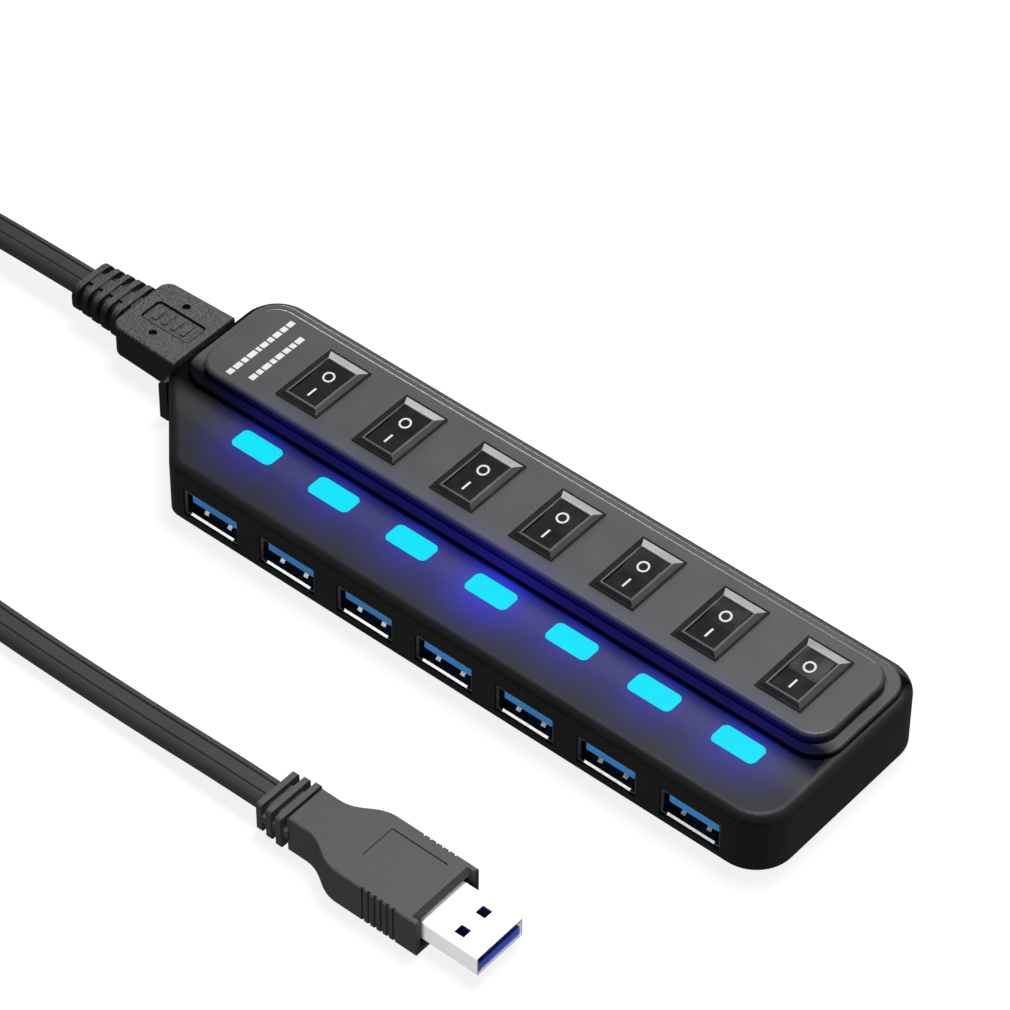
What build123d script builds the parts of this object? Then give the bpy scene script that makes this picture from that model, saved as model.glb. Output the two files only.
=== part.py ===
from build123d import *
from math import pi, radians, sqrt, tan
import os

# Seven-port USB hub with a rocker switch and a lit window for each port, and its detachable lead.
# Frame, in millimetres: +X along the hub towards its plain end, +Y from the port face to the back,
# +Z up. The origin is the centre of the underside of the hub's bounding box, lead left out.

os.makedirs("parts", exist_ok=True)

# ---------------------------------------------------------------- driving dimensions
PORT_COUNT = 7
PORT_PITCH = 19.0

CASE_LENGTH = 157.6          # end wall to end wall
CASE_WIDTH = 47.8            # port face to back face
CASE_HEIGHT = 13.3           # underside to shoulder
CASE_WALL = 1.8
CASE_CORNER_R = 8.0
CASE_EDGE_R = 2.0
CABLE_END_MARGIN = 27.0      # end wall at the lead to the first port's middle
COLLAR_DEPTH = 2.4           # how far the socket collar stands off the end wall
FOOT_STANDOFF = 0.8

CLIP_ALONG = 16.9            # the corner cut beside the first port, along the port face
CLIP_ACROSS = 18.1           # and along the end wall
CLIP_FRONT_R = 4.0
CLIP_END_R = 4.0

FLANGE_HEIGHT = 0.9
FLANGE_INSET = 2.0
FLANGE_BACK_INSET = 2.3
FLANGE_SETBACK = 18.1        # port face to the flange's front edge
FLANGE_CORNER_R = 6.0
PAD_HEIGHT = 1.8
PAD_INSET = 2.4              # from the flange's edge to the pad's edge
PAD_CORNER_R = 5.0
PANEL_EDGE_R = (0.5, 0.8)    # top edges of the flange and of the pad
SHADOW_GAP = (0.35, 0.3)     # width and depth of the groove round the flange and the pad
PANEL_SKIRT = 1.2            # width of the rib that locates the panel in the casing
FIT_GAP = 0.1
WINDOW_GAP = 0.08

WINDOW_SIZE = (9.7, 4.8)
WINDOW_CORNER_R = 1.2
WINDOW_SETBACK = 13.35

SHELL_OUTER = (13.1, 5.72)   # receptacle shell of a standard type A port
SHELL_WALL = 0.3
SHELL_DEPTH = 13.0
SHELL_MOUTH_SETBACK = 0.3
LIP_FLARE = 0.2
LIP_DEPTH = 0.4
LIP_TAB = (10.7, 0.3)        # turned-down tab in the mouth's floor: its width and drop
LEAF_OFFSET = 2.9            # spring leaves in the shell's floor, either side of the middle
LEAF_HEIGHT = 0.6
PORT_RISE = 4.86             # case underside to the middle of the port
TONGUE_SIZE = (11.1, 1.95)
TONGUE_DROP = 0.85           # shell ceiling to the top of the tongue
TONGUE_SETBACK = 1.0
TONGUE_ROOT = 3.0

BEZEL_OUTER = (10.3, 15.7)
BEZEL_RIM = (7.2, 11.9)
BEZEL_HEIGHT = 0.75
BEZEL_LEDGE = (0.45, 0.25)    # flat ledge round the bezel's slopes: its width and height
BEZEL_SETBACK = 32.0
ROCKER_FORWARD = 0.5         # the rocker and the rim sit this far forward of the bezel's middle
SWITCH_BODY = (8.8, 13.4)
SWITCH_BODY_DEPTH = 8.4
ROCKER_WIDTH = 6.5
ROCKER_END_R = 5.7
ROCKER_OPENING = (6.7, 11.4)
ROCKER_WELL_LENGTH = 12.2
ROCKER_TILT = 4.5            # from the middle of its travel to either end
ROCKER_SINK = 0.4            # bezel rim to the middle of the rocker's face
PIVOT_DROP = 1.15            # panel top to the rocker's pivot
PIVOT_R = 0.8
PIVOT_HOLE_R = 0.86
PIVOT_REACH = 0.55

BOARD_THICKNESS = 1.2
BOARD_RISE = 3.4             # case underside to the board's underside
BOARD_INSET = 2.3
BASE_THICKNESS = 1.4
LED_HEIGHT = 0.8

SOCKET_Y = 6.9               # middle of the upstream socket, the plug and the lead's exit
SOCKET_OUTER = (13.6, 3.0)
SOCKET_WALL = 0.3
SOCKET_LENGTH = 9.0
SOCKET_MOUTH = 1.4           # how far the socket's mouth stands off the end wall
PLUG_SHELL = (12.8, 2.2)
PLUG_SHELL_WALL = 0.3
PLUG_SHELL_REACH = 6.4
PLUG_GRIP = (17.1, 16.2, 7.4)
PLUG_FACE_WIDTH = 17.4
PLUG_GAP = 0.3               # between the collar and the seated plug's grip
HUB_RELIEF_LENGTH = 12.8
COLLAR_SPAN = (-13.5, 9.0)    # the collar's two sides, from the middle of the socket
COLLAR_TOP = 10.1            # above the casing's underside

CORD_DIAMETER = 5.2          # round stand-in for the flat 6.2 by 4 mm lead
COIL_CENTRE = (-172.0, -24.1)
COIL_MID_R = 31.0
COIL_SECTION = (13.4, 8.2)   # two turns wide, two turns high
RECESS_BARS = 4              # raised bars in the hub plug's recess
TIE_THICKNESS = 0.8
TIE_WIDTH = 8.0

HOST_Y = -66.7               # middle line of the host plug, lying in front of the hub
HOST_TIP_X = 56.0
HOST_SHELL = (12.0, 4.5)
HOST_SHELL_REACH = 11.75
HOST_GRIP = (33.0, 16.6, 8.6)
HOST_MOUTH_DEPTH = 3.5       # the grip's hollow front round the metal shell
HOST_GRIP_WALL = 1.0
HOST_BROW = 2.6              # side of the square whose corner bevels the mouth's upper lip
HOST_SHELL_ROOT = 4.0        # how far the shell is buried behind that hollow
HOST_RELIEF_LENGTH = 7.0

# ---------------------------------------------------------------- derived places
RIGHT = (CASE_LENGTH + COLLAR_DEPTH) / 2
LEFT = RIGHT - CASE_LENGTH
FRONT = -CASE_WIDTH / 2
BACK = CASE_WIDTH / 2
CASE_BOTTOM = FOOT_STANDOFF
CASE_TOP = CASE_BOTTOM + CASE_HEIGHT
FLANGE_TOP = CASE_TOP + FLANGE_HEIGHT
PAD_TOP = FLANGE_TOP + PAD_HEIGHT
PORT_Z = CASE_BOTTOM + PORT_RISE
BOARD_BOTTOM = CASE_BOTTOM + BOARD_RISE
BOARD_TOP = BOARD_BOTTOM + BOARD_THICKNESS
BASE_TOP = CASE_BOTTOM + BASE_THICKNESS
LED_Y = FRONT + 14.75
COMPONENT_Y = FRONT + 20.2
CEILING = CASE_TOP - CASE_WALL
SOCKET_Z = BOARD_TOP + SOCKET_OUTER[1] / 2
BEZEL_Y = FRONT + BEZEL_SETBACK
SWITCH_Y = BEZEL_Y - ROCKER_FORWARD
WINDOW_Y = FRONT + WINDOW_SETBACK
PIVOT_Z = PAD_TOP - PIVOT_DROP
FLANGE_FRONT = FRONT + FLANGE_SETBACK
SHELL_MOUTH_Y = FRONT + SHELL_MOUTH_SETBACK
SHELL_BACK_Y = SHELL_MOUTH_Y + SHELL_DEPTH
PORT_XS = [LEFT + CABLE_END_MARGIN + i * PORT_PITCH for i in range(PORT_COUNT)]
PORT_OPENING = (SHELL_OUTER[0] + 2 * LIP_FLARE + 0.1, SHELL_OUTER[1] + 1.0)
SCREW_PLACES = [
    (PORT_XS[0] + PORT_PITCH / 2, FRONT + 19.2),
    (PORT_XS[5] - PORT_PITCH / 2, FRONT + 19.2),
    (LEFT + 7.5, BACK - 4.6),
    (RIGHT - 9.5, BACK - 4.6),
]
FOOT_PLACES = [
    (LEFT + 17.0, FRONT + 10.0),
    (RIGHT - 10.5, FRONT + 10.0),
    (LEFT + 9.0, BACK - 12.0),
    (RIGHT - 10.5, BACK - 12.0),
]
SCREW_R = 1.0
SCREW_HEAD_R = 1.9
BOSS_R = 2.5
FOOT_R = 4.0
FOOT_POCKET = 0.6
PLUG_FACE_X = LEFT - COLLAR_DEPTH - PLUG_GAP
PLUG_BACK_X = PLUG_FACE_X - PLUG_GRIP[0]
HUB_EXIT_X = PLUG_BACK_X - HUB_RELIEF_LENGTH
HOST_SHELL_X = HOST_TIP_X - HOST_SHELL_REACH
HOST_BACK_X = HOST_SHELL_X - HOST_GRIP[0]
HOST_EXIT_X = HOST_BACK_X - HOST_RELIEF_LENGTH
HOST_Z = HOST_GRIP[2] / 2
COIL_BOTTOM = TIE_THICKNESS
COIL_MID_Z = COIL_BOTTOM + COIL_SECTION[1] / 2

# Routes of the lead where it isn't coiled, from each plug to the coil. Chosen by hand.
HUB_RUN = [
    (HUB_EXIT_X, SOCKET_Y, SOCKET_Z),
    (-122.0, SOCKET_Y, SOCKET_Z),
    (-138.0, 7.1, 6.3),
    (-155.0, 7.2, 5.4),
    (COIL_CENTRE[0], COIL_CENTRE[1] + COIL_MID_R, COIL_MID_Z),
]
HOST_RUN = [
    (HOST_EXIT_X, HOST_Y, HOST_Z),
    (-8.0, HOST_Y, HOST_Z),
    (-28.0, -66.5, 3.0),
    (-62.0, -66.4, 2.65),
    (-97.0, -64.9, 2.65),
    (-134.0, -58.5, 3.6),
    (COIL_CENTRE[0], COIL_CENTRE[1] - COIL_MID_R, COIL_MID_Z),
]


# ---------------------------------------------------------------- helpers
def block(low, high):
    """A box from its lowest corner to its highest corner."""
    size = [b - a for a, b in zip(low, high)]
    centre = [(a + b) / 2 for a, b in zip(low, high)]
    return Pos(*centre) * Box(*size)


def post(x, y, z_low, z_high, radius):
    """An upright cylinder."""
    return Pos(x, y, (z_low + z_high) / 2) * Cylinder(radius, z_high - z_low)


def slab(face, z_low, z_high):
    """A flat outline drawn at z = 0, given a thickness."""
    return Pos(0, 0, z_low) * extrude(face, z_high - z_low, dir=(0, 0, 1))


def rounded(x_low, x_high, y_low, y_high, radius):
    """A rounded rectangle at z = 0."""
    face = RectangleRounded(x_high - x_low, y_high - y_low, radius)
    return Pos((x_low + x_high) / 2, (y_low + y_high) / 2) * face


def case_outline(inset=0.0):
    """The casing's plan: three round corners and the clipped one beside the first port."""
    corners = [
        (LEFT + CLIP_ALONG, FRONT, CLIP_FRONT_R),
        (RIGHT, FRONT, CASE_CORNER_R),
        (RIGHT, BACK, CASE_CORNER_R),
        (LEFT, BACK, CASE_CORNER_R),
        (LEFT, FRONT + CLIP_ACROSS, CLIP_END_R),
    ]
    plan = make_face(Polyline([(x, y) for x, y, r in corners], close=True))
    for x, y, radius in corners:
        corner = plan.vertices().sort_by_distance((x, y, 0))[0]
        plan = fillet(corner, radius)
    if inset:
        plan = offset(plan, -inset)
    return plan


def save(name, shape):
    """Write one sub-part."""
    export_step(shape, f"parts/{name}.step")


def group(shapes):
    """Separate solids that share one node."""
    return Compound(children=list(shapes))


# ---------------------------------------------------------------- casing
def panel_outline(level, inset=0.0):
    """The raised switch panel's plan: its flange, or the pad on it."""
    edge = inset + (PAD_INSET if level == "pad" else 0.0)
    radius = PAD_CORNER_R if level == "pad" else FLANGE_CORNER_R
    return rounded(
        LEFT + FLANGE_INSET + edge,
        RIGHT - FLANGE_INSET - edge,
        FLANGE_FRONT + edge,
        BACK - FLANGE_BACK_INSET - edge,
        max(radius - inset, 1.0),
    )


def shadow_gap(level, z_top):
    """The narrow groove that runs round the foot of the flange or of the pad."""
    width, depth = SHADOW_GAP
    ring = slab(panel_outline(level, -width), z_top - depth, z_top + 1)
    return ring - slab(panel_outline(level), z_top - depth, z_top + 1)


def upper_shell():
    shell = slab(case_outline(), CASE_BOTTOM, CASE_TOP)
    shell = fillet(shell.faces().sort_by(Axis.Z)[-1].edges(), CASE_EDGE_R)
    shell -= slab(case_outline(CASE_WALL), CASE_BOTTOM - 1, CEILING)
    shell -= slab(panel_outline("pad", 1.5), CEILING - 1, CASE_TOP + 1)
    width, height = PORT_OPENING
    for x in PORT_XS:
        shell -= block(
            (x - width / 2, FRONT - 1, PORT_Z - height / 2),
            (x + width / 2, FRONT + CASE_WALL + 0.5, PORT_Z + height / 2),
        )
        shell -= window_solid(x, WINDOW_GAP, CEILING - 1, CASE_TOP + 1)
    shell -= shadow_gap("flange", CASE_TOP)
    half_y = SOCKET_OUTER[0] / 2 + FIT_GAP
    half_z = SOCKET_OUTER[1] / 2 + FIT_GAP
    shell -= across_x(half_y, half_z, LEFT - 1, LEFT + 3)
    for x, y in SCREW_PLACES:
        shell += post(x, y, BOARD_TOP, CEILING, BOSS_R) & slab(case_outline(CASE_WALL / 2), 0, CEILING)
        shell -= post(x, y, BOARD_TOP - 1, CEILING - 1.5, SCREW_R + 0.05)
    return shell


def lower_shell():
    plate = slab(case_outline(CASE_WALL + FIT_GAP), CASE_BOTTOM, BASE_TOP)
    rib_y = SHELL_BACK_Y + 1.6
    for x in PORT_XS[::2]:
        plate += block((x - 3, rib_y, BASE_TOP), (x + 3, rib_y + 1.2, BOARD_BOTTOM))
    for x, y in SCREW_PLACES:
        plate += post(x, y, BASE_TOP, BOARD_BOTTOM, BOSS_R) & slab(case_outline(CASE_WALL + 0.3), 0, CEILING)
        plate -= post(x, y, CASE_BOTTOM - 1, CASE_BOTTOM + 1.3, SCREW_HEAD_R + 0.1)
        plate -= post(x, y, CASE_BOTTOM, BOARD_BOTTOM + 1, SCREW_R + 0.1)
    for x, y in FOOT_PLACES:
        plate -= post(x, y, CASE_BOTTOM - 1, CASE_BOTTOM + FOOT_POCKET, FOOT_R + 0.1)
    return plate


def switch_panel():
    panel = slab(panel_outline("flange"), CASE_TOP, FLANGE_TOP)
    panel = fillet(panel.faces().sort_by(Axis.Z)[-1].edges(), PANEL_EDGE_R[0])
    pad = slab(panel_outline("pad"), FLANGE_TOP - 0.1, PAD_TOP)
    panel += fillet(pad.faces().sort_by(Axis.Z)[-1].edges(), PANEL_EDGE_R[1])
    panel -= shadow_gap("pad", FLANGE_TOP)
    skirt = slab(panel_outline("pad", 1.5 + FIT_GAP), CEILING, CASE_TOP)
    panel += skirt - slab(panel_outline("pad", 1.5 + FIT_GAP + PANEL_SKIRT), CEILING - 1, CASE_TOP)
    half_x = SWITCH_BODY[0] / 2 + FIT_GAP
    half_y = SWITCH_BODY[1] / 2 + FIT_GAP
    for x in PORT_XS:
        panel -= block((x - half_x, SWITCH_Y - half_y, CEILING), (x + half_x, SWITCH_Y + half_y, PAD_TOP + 1))
    return panel


def window_solid(x, grow, z_low, z_high):
    """The rounded block of one indicator window, or of its hole."""
    half_x = WINDOW_SIZE[0] / 2 + grow
    half_y = WINDOW_SIZE[1] / 2 + grow
    face = rounded(x - half_x, x + half_x, WINDOW_Y - half_y, WINDOW_Y + half_y, WINDOW_CORNER_R + grow)
    return slab(face, z_low, z_high)


def led_window(x):
    """Clear window through the casing, its ledge under the skin and the light pipe down to the LED."""
    window = window_solid(x, 0, CEILING, CASE_TOP + 0.05)
    window += window_solid(x, 0.7, CEILING - 0.9, CEILING)
    window += block((x - 2.5, LED_Y - 0.75, BOARD_TOP + LED_HEIGHT + 0.3), (x + 2.5, LED_Y + 0.75, CEILING))
    return window


def housing_screw(x, y):
    head_top = CASE_BOTTOM + 1.3
    screw = post(x, y, CASE_BOTTOM + 0.3, head_top, SCREW_HEAD_R)
    screw += post(x, y, head_top, BOARD_TOP + 3.5, SCREW_R)
    for length, width in ((2.2, 0.5), (0.5, 2.2)):
        screw -= block(
            (x - length / 2, y - width / 2, CASE_BOTTOM), (x + length / 2, y + width / 2, CASE_BOTTOM + 0.8)
        )
    return screw


def rubber_foot(x, y):
    foot = post(x, y, 0, CASE_BOTTOM + FOOT_POCKET, FOOT_R)
    return fillet(foot.edges().sort_by(Axis.Z)[:1], 0.3)


# ---------------------------------------------------------------- ports
def port_frame(width, height, y, flare=0.0):
    """A rectangle across a port's axis at one depth, its top and sides moved out by the flare."""
    frame = Plane(origin=(0, y, PORT_Z + flare / 2), x_dir=(1, 0, 0), z_dir=(0, 1, 0))
    return frame * Rectangle(width + 2 * flare, height + flare)


def port_shell(x):
    """Folded metal shell: a closed-back tube with a flared mouth, a turned-down tab and two spring leaves."""
    width, height = SHELL_OUTER
    mouth = SHELL_MOUTH_Y
    tube_front = mouth + LIP_DEPTH
    inner_width = width - 2 * SHELL_WALL
    inner_height = height - 2 * SHELL_WALL
    floor = PORT_Z - inner_height / 2
    low = (-width / 2, tube_front, PORT_Z - height / 2)
    high = (width / 2, SHELL_BACK_Y, PORT_Z + height / 2)
    tube = block(low, high)
    tube += loft([port_frame(width, height, mouth, LIP_FLARE), port_frame(width, height, tube_front)])
    mouth_frame = port_frame(inner_width, inner_height, mouth, LIP_FLARE)
    tube -= loft([mouth_frame, port_frame(inner_width, inner_height, tube_front)])
    low = (-inner_width / 2, tube_front - 0.01, floor)
    high = (inner_width / 2, SHELL_BACK_Y - SHELL_WALL, floor + inner_height)
    tube -= block(low, high)
    tab_half, tab_drop = LIP_TAB[0] / 2, LIP_TAB[1]
    tube -= block((-tab_half, mouth - 1, floor - 1), (tab_half, tube_front, floor + 0.05))
    tab = Polyline(
        [
            (tube_front, floor),
            (mouth, floor - tab_drop),
            (mouth, floor - tab_drop - SHELL_WALL),
            (tube_front, floor - SHELL_WALL),
        ],
        close=True,
    )
    tube += extrude(make_face(Plane.YZ * tab), tab_half, both=True)
    for side in (-LEAF_OFFSET, LEAF_OFFSET):
        crest = (mouth + 2.1, floor + LEAF_HEIGHT)
        leaf = Polyline([(mouth + 1.5, floor - 0.1), (mouth + 5.2, floor - 0.1), crest], close=True)
        tube += Pos(side, 0, 0) * extrude(make_face(Plane.YZ * leaf), 0.5, both=True)
    return Pos(x, 0, 0) * tube


def tongue_levels():
    """Underside and top of a port's tongue."""
    ceiling = PORT_Z + SHELL_OUTER[1] / 2 - SHELL_WALL
    return ceiling - TONGUE_DROP - TONGUE_SIZE[1], ceiling - TONGUE_DROP


def port_tongue(x):
    """Moulded insert: the tongue and the block that closes the back of the shell."""
    low, high = tongue_levels()
    front = FRONT + TONGUE_SETBACK
    half = TONGUE_SIZE[0] / 2
    back = SHELL_BACK_Y - SHELL_WALL - 0.02
    tongue = block((x - half, front, low), (x + half, back - 1.0, high))
    tongue = chamfer(tongue.edges().group_by(Axis.Y)[0], 0.3)
    half_x = SHELL_OUTER[0] / 2 - SHELL_WALL - 0.02
    half_z = SHELL_OUTER[1] / 2 - SHELL_WALL - 0.02
    root_low = (x - half_x, back - TONGUE_ROOT, PORT_Z - half_z)
    return tongue + block(root_low, (x + half_x, back, PORT_Z + half_z))


def port_contacts(x):
    """Nine spring contacts under one tongue: four long ones and, nearer the mouth, five short ones."""
    low, high = tongue_levels()
    front = FRONT + TONGUE_SETBACK
    contacts = []
    for dx in (-3.5, -1.0, 1.0, 3.5):
        contacts.append(block((x + dx - 0.5, front + 3.0, low - 0.12), (x + dx + 0.5, front + 7.5, low)))
    for dx in (-4.0, -2.0, 0.0, 2.0, 4.0):
        contacts.append(block((x + dx - 0.35, front + 0.7, low - 0.12), (x + dx + 0.35, front + 2.2, low)))
    return contacts


# ---------------------------------------------------------------- switches
def switch_body(x):
    """Rocker switch housing: sloped bezel on the panel, a well for the rocker and the case under it."""
    ledge_width, ledge_height = BEZEL_LEDGE
    ledge_top = PAD_TOP + ledge_height
    base = Pos(0, ROCKER_FORWARD) * Rectangle(*BEZEL_OUTER)
    foot = Rectangle(BEZEL_OUTER[0] - 2 * ledge_width, BEZEL_OUTER[1] - 2 * ledge_width)
    rim = Pos(0, 0, PAD_TOP + BEZEL_HEIGHT) * Rectangle(*BEZEL_RIM)
    body = slab(base, PAD_TOP, ledge_top) + loft([Pos(0, ROCKER_FORWARD, ledge_top) * foot, rim])
    half_x, half_y = SWITCH_BODY[0] / 2, SWITCH_BODY[1] / 2
    body += block((-half_x, -half_y, PAD_TOP - SWITCH_BODY_DEPTH), (half_x, half_y, PAD_TOP))
    open_x, open_y = ROCKER_OPENING[0] / 2, ROCKER_OPENING[1] / 2
    well_floor = PIVOT_Z - 3.4
    body -= block((-open_x, -open_y, well_floor), (open_x, open_y, PAD_TOP + 2))
    well_y = ROCKER_WELL_LENGTH / 2
    body -= block((-open_x, -well_y, well_floor), (open_x, well_y, PAD_TOP))
    reach = ROCKER_WIDTH / 2 + PIVOT_REACH + 0.1
    body -= Pos(0, 0, PIVOT_Z) * Rot(0, 90, 0) * Cylinder(PIVOT_HOLE_R, 2 * reach)
    return Pos(x, SWITCH_Y, 0) * body


def rocker(x):
    """The rocker at rest with its front end pressed, turned about its two pivot stubs."""
    radius = ROCKER_END_R
    slope = tan(radians(ROCKER_TILT))
    middle = PAD_TOP + BEZEL_HEIGHT - ROCKER_SINK - PIVOT_Z
    reach = middle**2 * slope**2 - (1 + slope**2) * (middle**2 - radius**2)
    end_y = (sqrt(reach) - middle * slope) / (1 + slope**2)
    end = middle + end_y * slope
    floor = -1.7
    floor_y = sqrt(radius**2 - floor**2)
    profile = [
        Line((floor_y, floor), (-floor_y, floor)),
        ThreePointArc((-floor_y, floor), (-radius, 0), (-end_y, end)),
        Line((-end_y, end), (0, middle)),
        Line((0, middle), (end_y, end)),
        ThreePointArc((end_y, end), (radius, 0), (floor_y, floor)),
    ]
    body = extrude(make_face([Plane.YZ * edge for edge in profile]), ROCKER_WIDTH / 2, both=True)
    body += Rot(0, 90, 0) * Cylinder(PIVOT_R, ROCKER_WIDTH + 2 * PIVOT_REACH)
    return Pos(x, SWITCH_Y, PIVOT_Z) * Rot(ROCKER_TILT, 0, 0) * body


def switch_terminals(x):
    """Two flat terminals from the switch down to the board."""
    top = PAD_TOP - SWITCH_BODY_DEPTH
    terminals = []
    for y in (SWITCH_Y - 3.6, SWITCH_Y + 3.6):
        terminals.append(block((x - 1.2, y - 0.25, BOARD_TOP), (x + 1.2, y + 0.25, top)))
    return terminals


# ---------------------------------------------------------------- board and what it carries
def main_board():
    board = slab(case_outline(BOARD_INSET), BOARD_BOTTOM, BOARD_TOP)
    half = SHELL_OUTER[0] / 2 + 0.1
    for x in PORT_XS:
        board -= block((x - half, FRONT, BOARD_BOTTOM - 1), (x + half, SHELL_BACK_Y + 0.1, BOARD_TOP + 1))
    for x, y in SCREW_PLACES:
        board -= post(x, y, BOARD_BOTTOM - 1, BOARD_TOP + 1, SCREW_R + 0.3)
    return board


def on_board(x, y, length, width, height):
    """A square part standing on the board."""
    low = (x - length / 2, y - width / 2, BOARD_TOP)
    return block(low, (x + length / 2, y + width / 2, BOARD_TOP + height))


def board_parts():
    middles = [x + PORT_PITCH / 2 for x in PORT_XS]
    chips = [on_board(middles[i], COMPONENT_Y, 7, 7, 0.9) for i in (1, 3)]
    crystals = []
    for i in (2, 5):
        can = on_board(middles[i], COMPONENT_Y, 10.6, 4.2, 3.4)
        crystals.append(fillet(can.edges().filter_by(Axis.Z), 1.9))
    capacitors = [post(x, COMPONENT_Y, BOARD_TOP, BOARD_TOP + 5.2, 2.0) for x in PORT_XS]
    leds = [on_board(x, LED_Y, 3.0, 1.4, LED_HEIGHT) for x in PORT_XS]
    return chips, crystals, capacitors, leds


# ---------------------------------------------------------------- upstream socket
def across_x(y_half, z_half, x_low, x_high):
    """A box about the lead's axis at the socket."""
    low = (x_low, SOCKET_Y - y_half, SOCKET_Z - z_half)
    return block(low, (x_high, SOCKET_Y + y_half, SOCKET_Z + z_half))


def socket_shell():
    half_y, half_z = SOCKET_OUTER[0] / 2, SOCKET_OUTER[1] / 2
    mouth = LEFT - SOCKET_MOUTH
    back = mouth + SOCKET_LENGTH
    shell = across_x(half_y, half_z, mouth, back)
    return shell - across_x(half_y - SOCKET_WALL, half_z - SOCKET_WALL, mouth - 1, back - SOCKET_WALL)


def socket_tongue():
    mouth = LEFT - SOCKET_MOUTH
    back = mouth + SOCKET_LENGTH - SOCKET_WALL - 0.02
    root_y = SOCKET_OUTER[0] / 2 - SOCKET_WALL - 0.02
    root_z = SOCKET_OUTER[1] / 2 - SOCKET_WALL - 0.02
    return across_x(5.6, 0.45, mouth + 1.2, back) + across_x(root_y, root_z, back - 1.6, back)


def socket_collar():
    """Raised surround of the socket on the end wall, its upper edge sloped back to the casing."""
    front, back = SOCKET_Y + COLLAR_SPAN[0], SOCKET_Y + COLLAR_SPAN[1]
    collar = block((LEFT - COLLAR_DEPTH, front, CASE_BOTTOM), (LEFT, back, CASE_BOTTOM + COLLAR_TOP))
    outer = collar.faces().sort_by(Axis.X)[0].edges().sort_by(Axis.Z)
    collar = chamfer(outer[-1], 1.8)
    collar = fillet(collar.edges().filter_by(Axis.Z).sort_by(Axis.X)[:2], 0.5)
    return collar - across_x(
        SOCKET_OUTER[0] / 2 + FIT_GAP, SOCKET_OUTER[1] / 2 + FIT_GAP, LEFT - COLLAR_DEPTH - 1, LEFT + 1
    )


# ---------------------------------------------------------------- lead
def lead_section(x, y, z, size, radius):
    """A rounded rectangle across the lead."""
    return Plane(origin=(x, y, z), x_dir=(0, 1, 0), z_dir=(1, 0, 0)) * RectangleRounded(*size, radius)


def ribbed_relief(start, end, size_start, size_end, rings, radius, core, spine):
    """Strain relief from its thick end to its thin end: a core, raised rings and a web that joins them.

    core is the core's size as a share of the rings' size.
    """
    (x_start, y, z), (x_end, _, _) = start, end
    core_start = [side * core for side in size_start]
    core_end = [side * core for side in size_end]
    core_radius = radius * core
    thick_end = lead_section(x_start, y, z, core_start, core_radius)
    relief = loft([thick_end, lead_section(x_end, y, z, core_end, core_radius)])
    step = (x_end - x_start) / rings
    thickness = abs(step) / 2
    for i in range(rings):
        share = (i + 0.75) / rings
        size = [a + (b - a) * share for a, b in zip(size_start, size_end)]
        middle_x = x_start + (x_end - x_start) * share
        relief += extrude(lead_section(middle_x - thickness / 2, y, z, size, radius), thickness)
    across, up = spine
    return relief + block((x_end, y - across / 2, z - up / 2), (x_start, y + across / 2, z + up / 2))


def hub_plug_grip():
    length, width, height = PLUG_GRIP
    face_half = PLUG_FACE_WIDTH / 2
    plan = Polyline(
        [
            (PLUG_FACE_X, SOCKET_Y - face_half),
            (PLUG_FACE_X, SOCKET_Y + face_half),
            (PLUG_BACK_X, SOCKET_Y + width / 2),
            (PLUG_BACK_X, SOCKET_Y - width / 2),
        ],
        close=True,
    )
    grip = slab(make_face(plan), SOCKET_Z - height / 2, SOCKET_Z + height / 2)
    grip = fillet(grip.edges().filter_by(Axis.Z).sort_by(Axis.X)[:2], 2.6)
    grip = fillet(grip.edges().filter_by(Axis.Z, reverse=True), 0.5)
    top = SOCKET_Z + height / 2
    recess_low, recess_high = PLUG_FACE_X - 14.2, PLUG_FACE_X - 1.7
    recess_plan = rounded(recess_low, recess_high, SOCKET_Y - 2.9, SOCKET_Y + 2.9, 1.0)
    floor_plan = rounded(recess_low + 0.4, recess_high - 0.4, SOCKET_Y - 2.5, SOCKET_Y + 2.5, 0.6)
    grip -= slab(recess_plan, top - 0.8, top + 1) - slab(floor_plan, top - 1, top + 2)
    recess = slab(floor_plan, top - 0.3, top + 1)
    for i in range(RECESS_BARS):
        bar_x = recess_low + 2.6 + i * 2.4
        recess -= block((bar_x - 0.5, SOCKET_Y - 1.6, top - 1), (bar_x + 0.5, SOCKET_Y + 1.6, top - 0.05))
    grip -= recess
    for dy in (-4.7, 4.7):
        grip -= post(PLUG_FACE_X - 8.9, SOCKET_Y + dy, top - 1.0, top + 1, 0.85)
    relief_start = (PLUG_BACK_X + 0.5, SOCKET_Y, SOCKET_Z)
    relief_end = (HUB_EXIT_X, SOCKET_Y, SOCKET_Z)
    grip += ribbed_relief(relief_start, relief_end, (12.2, 7.0), (10.8, 6.4), 5, 2.4, 0.72, (3.2, 6.0))
    shell_y, shell_z = PLUG_SHELL[0] / 2, PLUG_SHELL[1] / 2
    return grip - across_x(shell_y + 0.01, shell_z + 0.01, PLUG_FACE_X - 3.0, PLUG_FACE_X + 1)


def hub_plug_shell():
    shell_y, shell_z = PLUG_SHELL[0] / 2, PLUG_SHELL[1] / 2
    wall = PLUG_SHELL_WALL
    tip = PLUG_FACE_X + PLUG_SHELL_REACH
    shell = across_x(shell_y, shell_z, PLUG_FACE_X - 3.0, tip)
    return shell - across_x(shell_y - wall, shell_z - wall, PLUG_FACE_X - 1.0, tip + 1)


def host_box(x_low, x_high, y_half, z_half):
    """A box about the host plug's axis."""
    return block((x_low, HOST_Y - y_half, HOST_Z - z_half), (x_high, HOST_Y + y_half, HOST_Z + z_half))


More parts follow.
